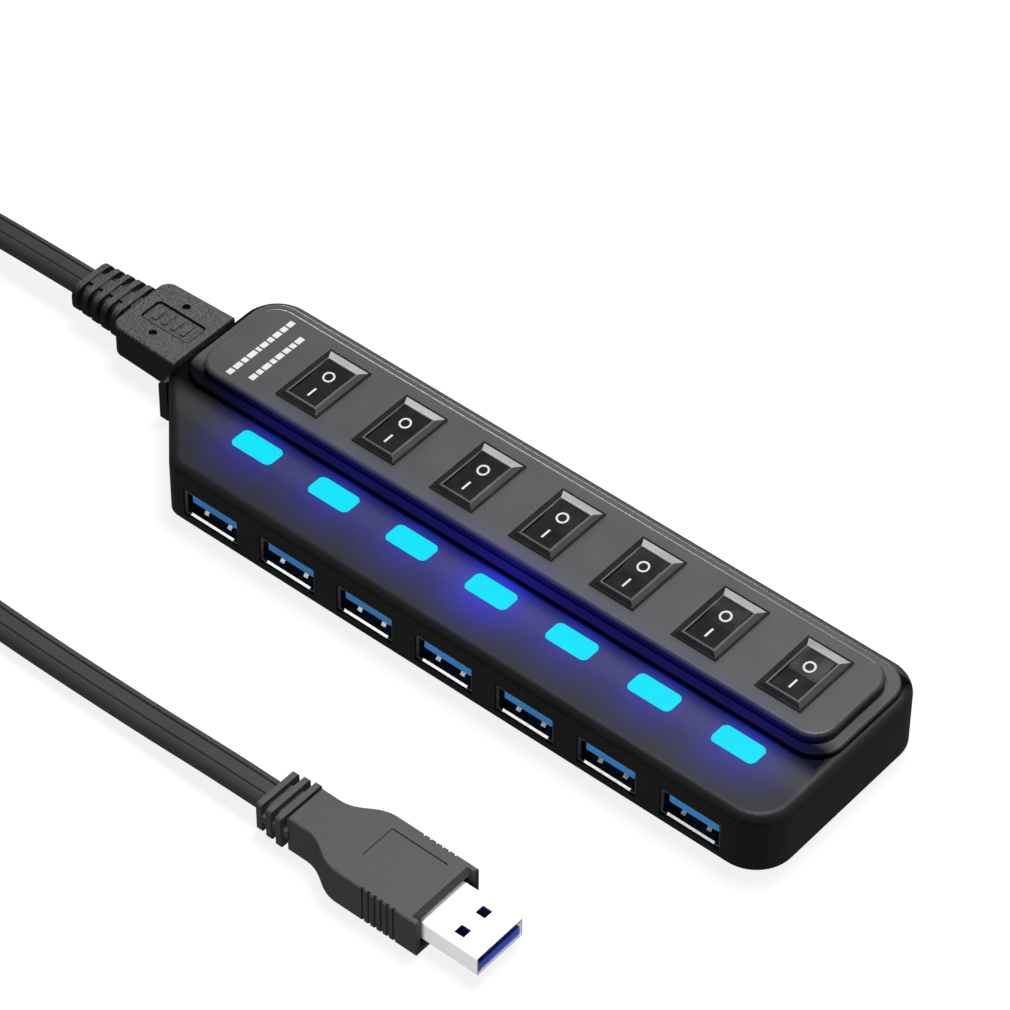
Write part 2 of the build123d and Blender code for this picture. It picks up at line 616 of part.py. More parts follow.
def host_plug_grip():
    """Over-moulded grip: a wide front, a waist drawn in by S-curves, side grooves and the strain relief."""
    length, width, height = HOST_GRIP
    front, back = HOST_SHELL_X, HOST_BACK_X
    half, waist = width / 2, 4.6
    flare_start, flare_end = back + 4.0, back + 14.5
    outline = [
        Line((front, -half), (front, half)),
        Line((front, half), (flare_end, half)),
        Spline((flare_end, half), (flare_start, waist), tangents=[(-1, 0), (-1, 0)]),
        Line((flare_start, waist), (back, waist)),
        Line((back, waist), (back, -waist)),
        Line((back, -waist), (flare_start, -waist)),
        Spline((flare_start, -waist), (flare_end, -half), tangents=[(1, 0), (1, 0)]),
        Line((flare_end, -half), (front, -half)),
    ]
    plan = Pos(0, HOST_Y) * make_face(outline)
    grip = slab(plan, 0, height)
    grip = chamfer(grip.faces().sort_by(Axis.Z)[-1].edges(), 0.25)
    grip = chamfer(grip.faces().sort_by(Axis.Z)[0].edges(), 0.25)
    brow = Box(HOST_BROW, 2 * (half - HOST_GRIP_WALL), HOST_BROW)
    grip -= Pos(front, HOST_Y, height) * Rot(0, 45, 0) * brow
    for i in range(6):
        x = front - 5.2 - i * 1.42
        for side in (-1, 1):
            y = HOST_Y + side * half
            grip -= block((x - 0.3, y - 0.45, -1), (x + 0.3, y + 0.45, height + 1))
    line_x, line_back, cut = front - 17.5, HOST_Y + 5.6, height - 0.25
    grip -= block((line_x, HOST_Y - half + 5.9, cut), (line_x + 0.35, line_back, height + 1))
    grip -= block((line_x, line_back - 0.35, cut), (front - 4.6, line_back, height + 1))
    relief_start = (back + 0.4, HOST_Y, HOST_Z)
    relief_end = (HOST_EXIT_X, HOST_Y, HOST_Z)
    relief = ribbed_relief(relief_start, relief_end, (11.4, 7.6), (10.0, 6.8), 3, 0.6, 0.64, (10.0, 1.8))
    mouth = host_box(front - HOST_MOUTH_DEPTH, front + 1, half - HOST_GRIP_WALL, height / 2 - HOST_GRIP_WALL)
    socket_x = front - HOST_MOUTH_DEPTH - HOST_SHELL_ROOT
    shell_pocket = host_box(socket_x, front + 1, HOST_SHELL[0] / 2 + 0.01, HOST_SHELL[1] / 2 + 0.01)
    return grip + relief - mouth - shell_pocket


def host_plug_shell():
    half_y, half_z = HOST_SHELL[0] / 2, HOST_SHELL[1] / 2
    wall = 0.3
    back = HOST_SHELL_X - HOST_MOUTH_DEPTH - HOST_SHELL_ROOT
    shell = host_box(back, HOST_TIP_X, half_y, half_z)
    shell = fillet(shell.edges().filter_by(Axis.X), 0.4)
    shell -= host_box(back + wall, HOST_TIP_X + 1, half_y - wall, half_z - wall)
    window_x = HOST_TIP_X - 5.9
    for dy in (-2.8, 2.8):
        y = HOST_Y + dy
        for z in (HOST_Z + half_z, HOST_Z - half_z):
            shell -= block((window_x - 1.1, y - 1.1, z - 0.5), (window_x + 1.1, y + 1.1, z + 0.5))
    return shell


def host_plug_tongue():
    """Blue insulator in the lower half of the plug's shell, thicker at its root."""
    half_y = HOST_SHELL[0] / 2 - 0.32
    low = HOST_Z - HOST_SHELL[1] / 2 + 0.32
    root = HOST_SHELL_X - HOST_MOUTH_DEPTH - HOST_SHELL_ROOT + 0.32
    high = HOST_Z + HOST_SHELL[1] / 2 - 0.32
    tongue = block((root, HOST_Y - half_y, low), (HOST_TIP_X - 0.25, HOST_Y + half_y, low + 1.93))
    return tongue + block((root, HOST_Y - half_y, low), (root + 2.5, HOST_Y + half_y, high))


def cord_run(name, points):
    """A tube of straight runs and tangent arcs, each arc as large as its two runs allow."""
    route = [Vector(*p) for p in points]
    radii = []
    for before, here, after in zip(route, route[1:], route[2:]):
        turn = radians((here - before).get_angle(after - here))
        shorter = min((here - before).length, (after - here).length)
        radii.append(0.45 * shorter / tan(turn / 2))
    print(name, "arc radii", [round(r, 1) for r in radii])
    path = FilletPolyline(route, radius=radii)
    start = route[1] - route[0]
    tube = sweep(Plane(origin=points[0], z_dir=start) * Circle(CORD_DIAMETER / 2), path=path)
    expected = pi * CORD_DIAMETER**2 / 4 * path.length
    print(name, "length", round(path.length, 1))
    print(name, "volume", round(tube.volume, 1), "expected", round(expected, 1))
    return tube


def cord_coil():
    width, height = COIL_SECTION
    section = Plane.XZ * (Pos(COIL_MID_R, height / 2) * RectangleRounded(width, height, 2.0))
    return Pos(COIL_CENTRE[0], COIL_CENTRE[1], COIL_BOTTOM) * revolve(section, Axis.Z)


def cord_tie(coil):
    """A strap round the coil's turns on the side away from the hub."""
    width, height = COIL_SECTION
    middle_x = COIL_CENTRE[0] - COIL_MID_R
    half_x = width / 2 + TIE_THICKNESS + 0.4
    strap = block(
        (middle_x - half_x, COIL_CENTRE[1] - TIE_WIDTH / 2, 0),
        (middle_x + half_x, COIL_CENTRE[1] + TIE_WIDTH / 2, COIL_BOTTOM + height + TIE_THICKNESS),
    )
    return fillet(strap.edges().filter_by(Axis.Y), 1.2) - coil


# ---------------------------------------------------------------- write the sub-parts
chips, crystals, capacitors, leds = board_parts()
coil = cord_coil()

save("upper_shell", upper_shell())
save("lower_shell", lower_shell())
save("switch_panel", switch_panel())
save("main_board", main_board())
for number, x in enumerate(PORT_XS, start=1):
    save(f"port_shell_{number}", port_shell(x))
    save(f"port_tongue_{number}", port_tongue(x))
    save(f"switch_body_{number}", switch_body(x))
    save(f"rocker_{number}", rocker(x))
    save(f"led_window_{number}", led_window(x))
save("port_contacts", group(c for x in PORT_XS for c in port_contacts(x)))
save("switch_terminals", group(t for x in PORT_XS for t in switch_terminals(x)))
save("indicator_leds", group(leds))
save("hub_controllers", group(chips))
save("crystals", group(crystals))
save("capacitors", group(capacitors))
save("upstream_socket_shell", socket_shell())
save("upstream_socket_tongue", socket_tongue())
save("socket_collar", socket_collar())
save("housing_screws", group(housing_screw(x, y) for x, y in SCREW_PLACES))
save("rubber_feet", group(rubber_foot(x, y) for x, y in FOOT_PLACES))
save("hub_plug_grip", hub_plug_grip())
save("hub_plug_shell", hub_plug_shell())
save("cord_run_hub", cord_run("cord_run_hub", HUB_RUN))
save("cord_coil", coil)
save("cord_tie", cord_tie(coil))
save("cord_run_host", cord_run("cord_run_host", HOST_RUN))
save("host_plug_grip", host_plug_grip())
save("host_plug_shell", host_plug_shell())
save("host_plug_tongue", host_plug_tongue())
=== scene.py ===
import math

import bmesh
import bpy
from mathutils import Matrix, Vector


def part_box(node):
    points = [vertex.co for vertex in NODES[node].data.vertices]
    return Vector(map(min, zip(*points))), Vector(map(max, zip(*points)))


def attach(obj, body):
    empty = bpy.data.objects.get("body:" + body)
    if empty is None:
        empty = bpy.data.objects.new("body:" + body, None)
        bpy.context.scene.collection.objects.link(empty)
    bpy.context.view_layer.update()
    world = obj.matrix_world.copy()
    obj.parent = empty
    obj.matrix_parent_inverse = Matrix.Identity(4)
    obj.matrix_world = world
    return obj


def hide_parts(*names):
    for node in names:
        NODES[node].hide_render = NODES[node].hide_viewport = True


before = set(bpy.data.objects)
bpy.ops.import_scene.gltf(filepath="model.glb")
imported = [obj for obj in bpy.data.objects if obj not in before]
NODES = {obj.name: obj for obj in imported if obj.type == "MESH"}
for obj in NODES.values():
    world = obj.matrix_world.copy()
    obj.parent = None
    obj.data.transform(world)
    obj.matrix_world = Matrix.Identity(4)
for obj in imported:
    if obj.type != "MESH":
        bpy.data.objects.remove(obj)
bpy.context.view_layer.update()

# Seven-port USB hub with rocker switches, lit windows and its detachable flat lead.
# Everything is in metres, in the frame of the CAD model.
MM = 0.001
PORT_COUNT = 7
NUMBERS = range(1, PORT_COUNT + 1)
FLANGE_HEIGHT = 0.9 * MM         # the panel's flange above the casing's top
WINDOW_SETBACK = 13.35 * MM      # middle of the windows behind the port face


def centre(node):
    """Middle of a CAD node's box."""
    low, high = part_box(node)
    return (low + high) / 2


WINDOW_X = [centre(f"led_window_{i}").x for i in NUMBERS]
CASE_LOW, CASE_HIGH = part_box("upper_shell")
PANEL_LOW, PANEL_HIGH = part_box("switch_panel")
PAD_TOP = PANEL_HIGH.z
FLANGE_TOP = CASE_HIGH.z + FLANGE_HEIGHT
RIM_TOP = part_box("switch_body_1")[1].z
SWITCH_Y = centre("switch_body_1").y
WINDOW_Y = CASE_LOW.y + WINDOW_SETBACK
HUB_PLUG_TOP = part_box("hub_plug_grip")[1].z
HOST_TONGUE_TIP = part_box("host_plug_tongue")[1].x
COIL_LOW, COIL_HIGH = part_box("cord_coil")

# ---------------------------------------------------------------- camera
CAMERA_AZIMUTH = math.radians(39.80)
CAMERA_ELEVATION = math.radians(45.35)
CAMERA_ROLL = math.radians(0.53)
CAMERA_DISTANCE = 0.9101
CAMERA_LENS = 176.9
CAMERA_AIM = Vector((0, -0.4 * MM, 8 * MM))
CAMERA_SLIDE = 0.8 * MM
CAMERA_LIFT = 11.5 * MM


def make_camera():
    """Long lens from above the front right corner, aimed a little above the hub's middle."""
    back = Vector(
        (
            math.sin(CAMERA_AZIMUTH) * math.cos(CAMERA_ELEVATION),
            -math.cos(CAMERA_AZIMUTH) * math.cos(CAMERA_ELEVATION),
            math.sin(CAMERA_ELEVATION),
        )
    )
    right = Vector((math.cos(CAMERA_AZIMUTH), math.sin(CAMERA_AZIMUTH), 0))
    up = back.cross(right)
    aim = CAMERA_AIM + right * CAMERA_SLIDE + up * CAMERA_LIFT
    rolled_right = right * math.cos(CAMERA_ROLL) + up * math.sin(CAMERA_ROLL)
    rolled_up = back.cross(rolled_right)
    data = bpy.data.cameras.new("camera")
    data.sensor_width = 36
    data.lens = CAMERA_LENS
    data.clip_start = 0.05
    data.clip_end = 20
    camera = bpy.data.objects.new("camera", data)
    bpy.context.scene.collection.objects.link(camera)
    turn = Matrix((rolled_right, rolled_up, back)).transposed().to_4x4()
    camera.matrix_world = Matrix.Translation(aim + back * CAMERA_DISTANCE) @ turn
    bpy.context.scene.camera = camera


# ---------------------------------------------------------------- shader helper
class Shader:
    """One node material, put together from the object's own coordinates."""

    def __init__(self, name, colour, roughness, metallic=0.0, specular=0.5):
        self.material = bpy.data.materials.new(name)
        self.material.use_nodes = True
        self.tree = self.material.node_tree
        self.tree.nodes.clear()
        self.surface = self.tree.nodes.new("ShaderNodeBsdfPrincipled")
        output = self.tree.nodes.new("ShaderNodeOutputMaterial")
        self.link(self.surface.outputs["BSDF"], output.inputs["Surface"])
        self.place = self.tree.nodes.new("ShaderNodeTexCoord").outputs["Object"]
        self.surface.inputs["Base Color"].default_value = (*colour, 1)
        self.surface.inputs["Roughness"].default_value = roughness
        self.surface.inputs["Metallic"].default_value = metallic
        self.surface.inputs["Specular IOR Level"].default_value = specular

    def link(self, output, target):
        self.tree.links.new(output, target)

    def feed(self, value, target):
        """Gives a socket a number, a colour or another node's output."""
        if isinstance(value, bpy.types.NodeSocket):
            self.link(value, target)
        elif target.type == "RGBA":
            target.default_value = (*value, 1)
        else:
            target.default_value = value

    def maths(self, operation, *values):
        """One Math node. Each value is a number or another node's output."""
        node = self.tree.nodes.new("ShaderNodeMath")
        node.operation = operation
        for value, target in zip(values, node.inputs):
            self.feed(value, target)
        return node.outputs["Value"]

    def noise(self, size, detail=2.0, roughness=0.5, stretch=(1, 1, 1)):
        """Noise from 0 to 1 whose features are about size metres across."""
        mapping = self.tree.nodes.new("ShaderNodeMapping")
        mapping.inputs["Scale"].default_value = stretch
        self.link(self.place, mapping.inputs["Vector"])
        node = self.tree.nodes.new("ShaderNodeTexNoise")
        node.inputs["Scale"].default_value = 1 / size
        node.inputs["Detail"].default_value = detail
        node.inputs["Roughness"].default_value = roughness
        self.link(mapping.outputs["Vector"], node.inputs["Vector"])
        return node.outputs["Fac"]

    def cells(self, size):
        """Distance to the nearest of scattered points size metres apart."""
        node = self.tree.nodes.new("ShaderNodeTexVoronoi")
        node.inputs["Scale"].default_value = 1 / size
        self.link(self.place, node.inputs["Vector"])
        return node.outputs["Distance"]

    def spread(self, value, low, high, to_low=0.0, to_high=1.0):
        """Stretches a value's range to another, and clamps it."""
        node = self.tree.nodes.new("ShaderNodeMapRange")
        for name, number in zip(("From Min", "From Max", "To Min", "To Max"), (low, high, to_low, to_high)):
            node.inputs[name].default_value = number
        self.link(value, node.inputs["Value"])
        return node.outputs["Result"]

    def mix(self, factor, first, second):
        """Blend of two colours, each a triple or an output."""
        node = self.tree.nodes.new("ShaderNodeMix")
        node.data_type = "RGBA"
        for value, target in zip((first, second), (s for s in node.inputs if s.type == "RGBA")):
            self.feed(value, target)
        self.link(factor, node.inputs["Factor"])
        return [s for s in node.outputs if s.type == "RGBA"][0]

    def vector(self, operation, *values):
        """One Vector Math node. Each value is a number, a triple or another node's output."""
        node = self.tree.nodes.new("ShaderNodeVectorMath")
        node.operation = operation
        for value, target in zip(values, (s for s in node.inputs if s.enabled)):
            self.feed(value, target)
        return node.outputs["Vector"]

    def add(self, first, second):
        """Sum of two colours."""
        return self.vector("ADD", first, second)

    def scale(self, colour, factor):
        """A colour times a number."""
        return self.vector("SCALE", colour, factor)

    def product(self, *values):
        """All the values multiplied together."""
        result = values[0]
        for value in values[1:]:
            result = self.maths("MULTIPLY", result, value)
        return result

    def shade(self, factor):
        """Multiplies the base colour that is already linked by a factor."""
        plain = self.surface.inputs["Base Color"].links[0].from_socket
        self.colour(self.scale(plain, factor))

    def gloss(self, factor):
        """Varies how strongly the surface mirrors its surroundings, about the level already set."""
        level = self.surface.inputs["Specular IOR Level"]
        self.link(self.product(factor, level.default_value), level)

    def colour(self, output):
        self.link(output, self.surface.inputs["Base Color"])

    def roughness(self, output):
        self.link(output, self.surface.inputs["Roughness"])

    def bump(self, height, depth):
        """Relief of the given depth in metres from a height of 0 to 1."""
        node = self.tree.nodes.new("ShaderNodeBump")
        node.inputs["Strength"].default_value = 1.0
        node.inputs["Distance"].default_value = depth
        self.link(height, node.inputs["Height"])
        self.link(node.outputs["Normal"], self.surface.inputs["Normal"])

    def axes(self):
        """The x, y and z of the object's own coordinates."""
        node = self.tree.nodes.new("ShaderNodeSeparateXYZ")
        self.link(self.place, node.inputs["Vector"])
        return node.outputs["X"], node.outputs["Y"], node.outputs["Z"]

    def bell(self, value, middle, width):
        """1 at the middle, falling off smoothly with distance from it."""
        away = self.maths("DIVIDE", self.maths("SUBTRACT", value, middle), width)
        return self.maths("POWER", math.e, self.maths("MULTIPLY", self.maths("MULTIPLY", away, away), -1.0))


def paint(material, *names):
    """Gives CAD nodes or pieces one material."""
    for name in names:
        piece = bpy.data.objects[name]
        piece.data.materials.clear()
        piece.data.materials.append(material)


def scaled(colour, factor):
    return tuple(channel * factor for channel in colour)


# ---------------------------------------------------------------- materials
GRAIN = 0.35 * MM
CASE_COLOUR = (0.0117, 0.0117, 0.0121)
CASE_GLOSS = 0.18
PANEL_COLOUR = (0.051, 0.051, 0.052)
PANEL_GLOSS = 0.3
WINDOW_LIGHT = (0.95, 1.00, 1.05, 2.10, 1.00, 1.00, 1.10)    # each window's share of the light
STRIP_GLOW = (0.004, 0.004, 0.24)      # on the casing's top, from end to end
NEAR_GLOW = (0.019, 0.019, 0.02)       # along the row of windows
BACK_GLOW = (0.0, 0.008, 0.11)         # right behind each window
PANEL_GLOW = (0.002, 0.001, 0.055)     # on the panel's front edge
STEP_GLOW = (0.001, 0.001, 0.020)      # on its stepped front wall
BACK_REACH = 6.0 * MM          # how far a window's light falls sideways, right behind it
TOP_REACH = 8.5 * MM           # on the casing's top
PANEL_REACH = 11.0 * MM        # on the panel


def moulded(name, colour, roughness, grain=GRAIN, depth=0.02 * MM, mottle=0.12, specular=0.5):
    """Moulded plastic: slight mottling, a fine spark-eroded grain and uneven gloss."""
    shader = Shader(name, colour, roughness, specular=specular)
    cloud = shader.noise(9 * MM, detail=4)
    speck = shader.noise(grain, detail=2, roughness=0.6)
    tone = shader.spread(cloud, 0.3, 0.7)
    shader.colour(shader.mix(tone, scaled(colour, 1 - mottle), scaled(colour, 1 + mottle)))
    shader.roughness(shader.spread(speck, 0.3, 0.7, roughness - 0.06, roughness + 0.06))
    shader.bump(speck, depth)
    return shader


def window_light(shader, x, width):
    """Light along the hub from all the windows, each falling off to both sides."""
    total = 0.0
    for middle, share in zip(WINDOW_X, WINDOW_LIGHT):
        total = shader.maths("MULTIPLY_ADD", shader.bell(x, middle, width), share, total)
    return total


def emit(shader, *glows):
    """Adds up glows, each an amount and a colour, as the surface's own light."""
    total = (0.0, 0.0, 0.0)
    for amount, colour in glows:
        total = shader.add(total, shader.scale(colour, amount))
    shader.link(total, shader.surface.inputs["Emission Color"])
    shader.surface.inputs["Emission Strength"].default_value = 1.0


def case_plastic():
    """Casing plastic, with the windows' blue light painted on its top as a glow, painted shade at the
    panel's foot, and painted light behind and beside the panel and down its walls.
    """
    shader = moulded("case_plastic", CASE_COLOUR, 0.45, specular=CASE_GLOSS)
    x, y, z = shader.axes()
    top = shader.spread(z, CASE_HIGH.z - 0.28 * MM, CASE_HIGH.z - 0.05 * MM)
    wide = shader.product(window_light(shader, x, TOP_REACH), top)
    strip = shader.product(wide, shader.bell(y, WINDOW_Y - 1.0 * MM, 6.6 * MM))
    near = shader.product(top, shader.bell(y, WINDOW_Y, 3.0 * MM))
    narrow = window_light(shader, x, BACK_REACH)
    behind = shader.product(narrow, top, shader.bell(y, WINDOW_Y + 3.4 * MM, 1.5 * MM))
    emit(shader, (strip, STRIP_GLOW), (near, NEAR_GLOW), (behind, BACK_GLOW))
    # Painted shade on the casing just before the panel, and painted light behind the panel, beyond its
    # right end and down the walls; the gloss is scaled by the same factor.
    front = shader.spread(y, PANEL_LOW.y - 3.2 * MM, PANEL_LOW.y - 0.4 * MM, 1.0, 0.12)
    back = shader.spread(y, PANEL_HIGH.y - 0.5 * MM, PANEL_HIGH.y + 0.2 * MM, 0.0, 1.7)
    end = shader.spread(x, PANEL_HIGH.x - 1.0 * MM, PANEL_HIGH.x + 0.5 * MM, 0.0, 1.3)
    foot = shader.maths("MAXIMUM", front, shader.maths("MAXIMUM", back, end))
    wall = shader.spread(z, CASE_HIGH.z - 2.0 * MM, CASE_HIGH.z - 0.2 * MM, 2.0, 1.0)
    shader.shade(shader.product(foot, wall))
    shader.gloss(shader.product(foot, wall))
    return shader


def panel_plastic():
    """Panel plastic, with painted shade and a painted blue glow from the windows along its stepped front
    edge.
    """
    shader = moulded("panel_plastic", PANEL_COLOUR, 0.40, specular=PANEL_GLOSS)
    x, y, z = shader.axes()
    row = window_light(shader, x, PANEL_REACH)
    low = shader.spread(z, PAD_TOP - 1.7 * MM, PAD_TOP - 0.6 * MM, 1.0, 0.0)
    near = shader.spread(y, PANEL_LOW.y + 2.8 * MM, PANEL_LOW.y + 6.0 * MM, 1.0, 0.0)
    step = shader.product(low, near)
    edge = shader.bell(y, PANEL_LOW.y + 0.3 * MM, 4.6 * MM)
    groove = shader.spread(z, FLANGE_TOP - 0.15 * MM, FLANGE_TOP - 0.03 * MM)
    lit = shader.product(row, groove)
    emit(shader, (shader.product(edge, lit), PANEL_GLOW), (shader.product(step, lit), STEP_GLOW))
    # Painted shade on the stepped front edge; the gloss is cut by the same factor.
    shade = shader.maths("SUBTRACT", 1.0, shader.product(step, 0.95))
    shader.shade(shade)
    shader.gloss(shade)
    return shader


def metal(name, colour, roughness, streak=(1, 1, 1), metallic=1.0, depth=0.004 * MM):
    """Plated sheet metal with faint drawing marks."""
    shader = Shader(name, colour, roughness, metallic=metallic)
    marks = shader.noise(0.5 * MM, detail=3, stretch=streak)
    shader.colour(shader.mix(shader.spread(marks, 0.3, 0.7), scaled(colour, 0.93), colour))
    shader.roughness(shader.spread(marks, 0.3, 0.7, roughness - 0.05, roughness + 0.07))
    shader.bump(marks, depth)
    return shader


def lit_window():
    """Clear cap lit evenly from below, with a faint mottling."""
    shader = Shader("window_lit", (0.0, 0.0, 0.0), 0.35, specular=0.1)
    speck = shader.noise(1.5 * MM, detail=2)
    glow = shader.mix(shader.spread(speck, 0.3, 0.7), (0.0, 0.75, 0.94), (0.002, 0.79, 0.98))
    shader.link(glow, shader.surface.inputs["Emission Color"])
    shader.surface.inputs["Emission Strength"].default_value = 1.0
    shader.bump(speck, 0.01 * MM)
    return shader


def circuit_board():
    """Green solder mask with darker laminate between the traces."""
    shader = Shader("board_mask", (0.01, 0.09, 0.04), 0.35)
    traces = shader.noise(2.5 * MM, detail=1, stretch=(1, 3, 1))
    edge = shader.spread(traces, 0.48, 0.52)
    shader.colour(shader.mix(edge, (0.008, 0.07, 0.03), (0.015, 0.13, 0.06)))
    shader.bump(edge, 0.03 * MM)
    return shader


def gloss_black(name, colour, roughness):
    """Polished switch plastic with faint ripples."""
    shader = Shader(name, colour, roughness)
    ripple = shader.noise(4 * MM, detail=2)
    shader.colour(shader.mix(shader.spread(ripple, 0.3, 0.7), scaled(colour, 0.85), scaled(colour, 1.15)))
    shader.roughness(shader.spread(ripple, 0.3, 0.7, roughness - 0.03, roughness + 0.04))
    shader.bump(ripple, 0.01 * MM)
    return shader


def bezel_gloss():
    """Polished switch housing, with a painted highlight along the rim round the rocker."""
    shader = gloss_black("bezel_gloss", (0.012, 0.012, 0.013), 0.18)
    z = shader.axes()[2]
    # Painted highlight: the base colour is nine times lighter at the top of the rim.
    shader.shade(shader.spread(z, RIM_TOP - 0.10 * MM, RIM_TOP - 0.02 * MM, 1.0, 9.0))
    return shader


def royal_insert():
    """Blue insulator of the host's plug, at full colour on its front face, with painted shade on the rest
    where it lies inside the shell.
    """
    shader = moulded("insert_royal", (0.04, 0.11, 0.78), 0.35, mottle=0.05)
    x = shader.axes()[0]
    tip = HOST_TONGUE_TIP
    # Painted shade: everything behind the front face is darkened to 0.14 of the colour.
    shader.shade(shader.spread(x, tip - 0.12 * MM, tip - 0.02 * MM, 0.14, 1.0))
    return shader


def speckled_grip():
    """Plug grip with a coarse texture whose peaks are worn lighter, and painted shade below its top face.
    """
    shader = Shader("grip_speckled", (0.03, 0.03, 0.03), 0.5)
    specks = shader.cells(0.55 * MM)
    fine = shader.noise(0.3 * MM, detail=3, roughness=0.7)
    height = shader.maths("MULTIPLY_ADD", specks, 0.6, shader.maths("MULTIPLY", fine, 0.6))
    shader.colour(shader.mix(shader.spread(fine, 0.38, 0.62), (0.004, 0.004, 0.004), (0.080, 0.080, 0.080)))
    z = shader.axes()[2]
    # Painted shade: the grip darkens to 0.35 of its colour below its top face.
    shader.shade(shader.spread(z, HUB_PLUG_TOP - 1.0 * MM, HUB_PLUG_TOP - 0.15 * MM, 0.35, 1.0))
    shader.roughness(shader.spread(fine, 0.3, 0.7, 0.42, 0.62))
    shader.bump(height, 0.14 * MM)
    return shader


def make_materials():
    return {
        "case": case_plastic(),
        "panel": panel_plastic(),
        "window": lit_window(),
        "board": circuit_board(),
        "contact": metal("contact_gold", (0.80, 0.55, 0.22), 0.25),
        "tinned_metal": metal("terminal_tin", (0.72, 0.72, 0.70), 0.4),
        "led_chip": moulded("led_chip_body", (0.75, 0.76, 0.70), 0.4, mottle=0.04),
        "chip": moulded("chip_epoxy", (0.02, 0.02, 0.02), 0.55),
        "capacitor": gloss_black("capacitor_sleeve", (0.02, 0.03, 0.08), 0.3),
        "shell_metal": metal("port_nickel", (0.40, 0.40, 0.40), 0.22, streak=(1, 0.1, 1), depth=0.001 * MM),
        "insert_black": moulded("insert_black", (0.02, 0.02, 0.02), 0.45),
        "collar": moulded("collar_plastic", (0.018, 0.018, 0.018), 0.45),
        "screw": metal("screw_blackened", (0.14, 0.14, 0.15), 0.35),
        "foot": moulded("foot_rubber", (0.02, 0.02, 0.02), 0.85, depth=0.03 * MM),
        "plug_grip": speckled_grip(),
        "host_grip": moulded("grip_satin", (0.024, 0.024, 0.024), 0.55, mottle=0.05),
        "plug_metal": metal("plug_plating", (0.95, 0.95, 0.94), 0.30, streak=(0.1, 1, 1), metallic=0.25),
        "insert_royal": royal_insert(),
        "insert_blue": moulded("insert_blue", (0.042, 0.27, 0.68), 0.35, mottle=0.08),
        "switch_black": gloss_black("switch_gloss", (0.012, 0.012, 0.013), 0.16),
        "bezel": bezel_gloss(),
        "cord": moulded("cord_jacket", (0.024, 0.024, 0.024), 0.50, mottle=0.08, specular=0.25),
        "tie": gloss_black("tie_black", (0.012, 0.012, 0.012), 0.4),
        "mark": moulded("mark_print", (0.62, 0.62, 0.62), 0.6, mottle=0.06),
    }


def round_edges(width, *names):
    """Breaks the sharp edges of CAD nodes so that they catch the light."""
    for name in names:
        weld = NODES[name].modifiers.new("weld", "WELD")
        weld.merge_threshold = 0.001 * MM
        bevel = NODES[name].modifiers.new("edges", "BEVEL")
        bevel.width = width
        bevel.segments = 2
        bevel.limit_method = "ANGLE"
        bevel.angle_limit = math.radians(12)
        bevel.harden_normals = True


def paint_nodes(finish):
    """Every CAD node's finish."""
    single = {
        "upper_shell": "case",
        "lower_shell": "case",
        "switch_panel": "panel",
        "main_board": "board",
        "port_contacts": "contact",
        "switch_terminals": "tinned_metal",
        "indicator_leds": "led_chip",
        "hub_controllers": "chip",
        "crystals": "tinned_metal",
        "capacitors": "capacitor",
        "upstream_socket_shell": "shell_metal",
        "upstream_socket_tongue": "insert_black",
        "socket_collar": "collar",
        "housing_screws": "screw",
        "rubber_feet": "foot",
        "hub_plug_grip": "plug_grip",
        "hub_plug_shell": "plug_metal",
        "cord_run_hub": "cord",
        "cord_coil": "cord",
        "cord_run_host": "cord",
        "cord_tie": "tie",
        "host_plug_grip": "host_grip",
        "host_plug_shell": "plug_metal",
        "host_plug_tongue": "insert_royal",
    }
    for node, slot in single.items():
        paint(finish[slot].material, node)
    repeated = {
        "port_shell": "shell_metal",
        "port_tongue": "insert_blue",
        "switch_body": "bezel",
        "rocker": "switch_black",
        "led_window": "window",
    }
    for stem, slot in repeated.items():
        for i in NUMBERS:
            paint(finish[slot].material, f"{stem}_{i}")


# ---------------------------------------------------------------- lead
CORD_WIDTH = 6.2 * MM
CORD_THICKNESS = 4.0 * MM
COIL_X = (COIL_LOW.x + COIL_HIGH.x) / 2
COIL_Y = (COIL_LOW.y + COIL_HIGH.y) / 2
COIL_TURNS = 2.5
COIL_OUTER_R = 34.3 * MM
COIL_INNER_R = 27.6 * MM
LAYER_Z = (6.9 * MM, 2.8 * MM)       # upper layer, then lower layer
CHANGE_START = 0.44                  # share of the coil before the lead goes down a layer
CHANGE_SPAN = 0.12                   # share of the coil on its way down
POINTS_PER_TURN = 16
# Millimetres, from the hub's plug to the coil and from the coil to the host's plug.
HUB_ROUTE = [
    (-110.2, 6.9, 6.9),
    (-122.0, 6.9, 6.9),
    (-138.0, 7.1, 6.3),
    (-155.0, 7.2, 5.4),
]
HOST_ROUTE = [
    (-134.0, -58.5, 3.6),
    (-97.0, -64.9, 2.65),
    (-62.0, -66.4, 2.65),
    (-28.0, -66.5, 3.0),
    (-8.0, -66.7, 4.3),
    (4.25, -66.7, 4.3),
]


def coil_points():
    """Turns on the upper layer from the outside in, then on the lower layer from the inside out."""
    count = int(COIL_TURNS * POINTS_PER_TURN)
    points = []
    for step in range(count + 1):
        share = step / count
        angle = math.radians(90) + 2 * math.pi * COIL_TURNS * share
        inward = 1 - abs(2 * share - 1)
        radius = COIL_OUTER_R + (COIL_INNER_R - COIL_OUTER_R) * inward
        drop = min(1.0, max(0.0, (share - CHANGE_START) / CHANGE_SPAN))
        smooth = drop * drop * (3 - 2 * drop)
        z = LAYER_Z[0] + (LAYER_Z[1] - LAYER_Z[0]) * smooth
        points.append((COIL_X + radius * math.cos(angle), COIL_Y + radius * math.sin(angle), z))
    return points


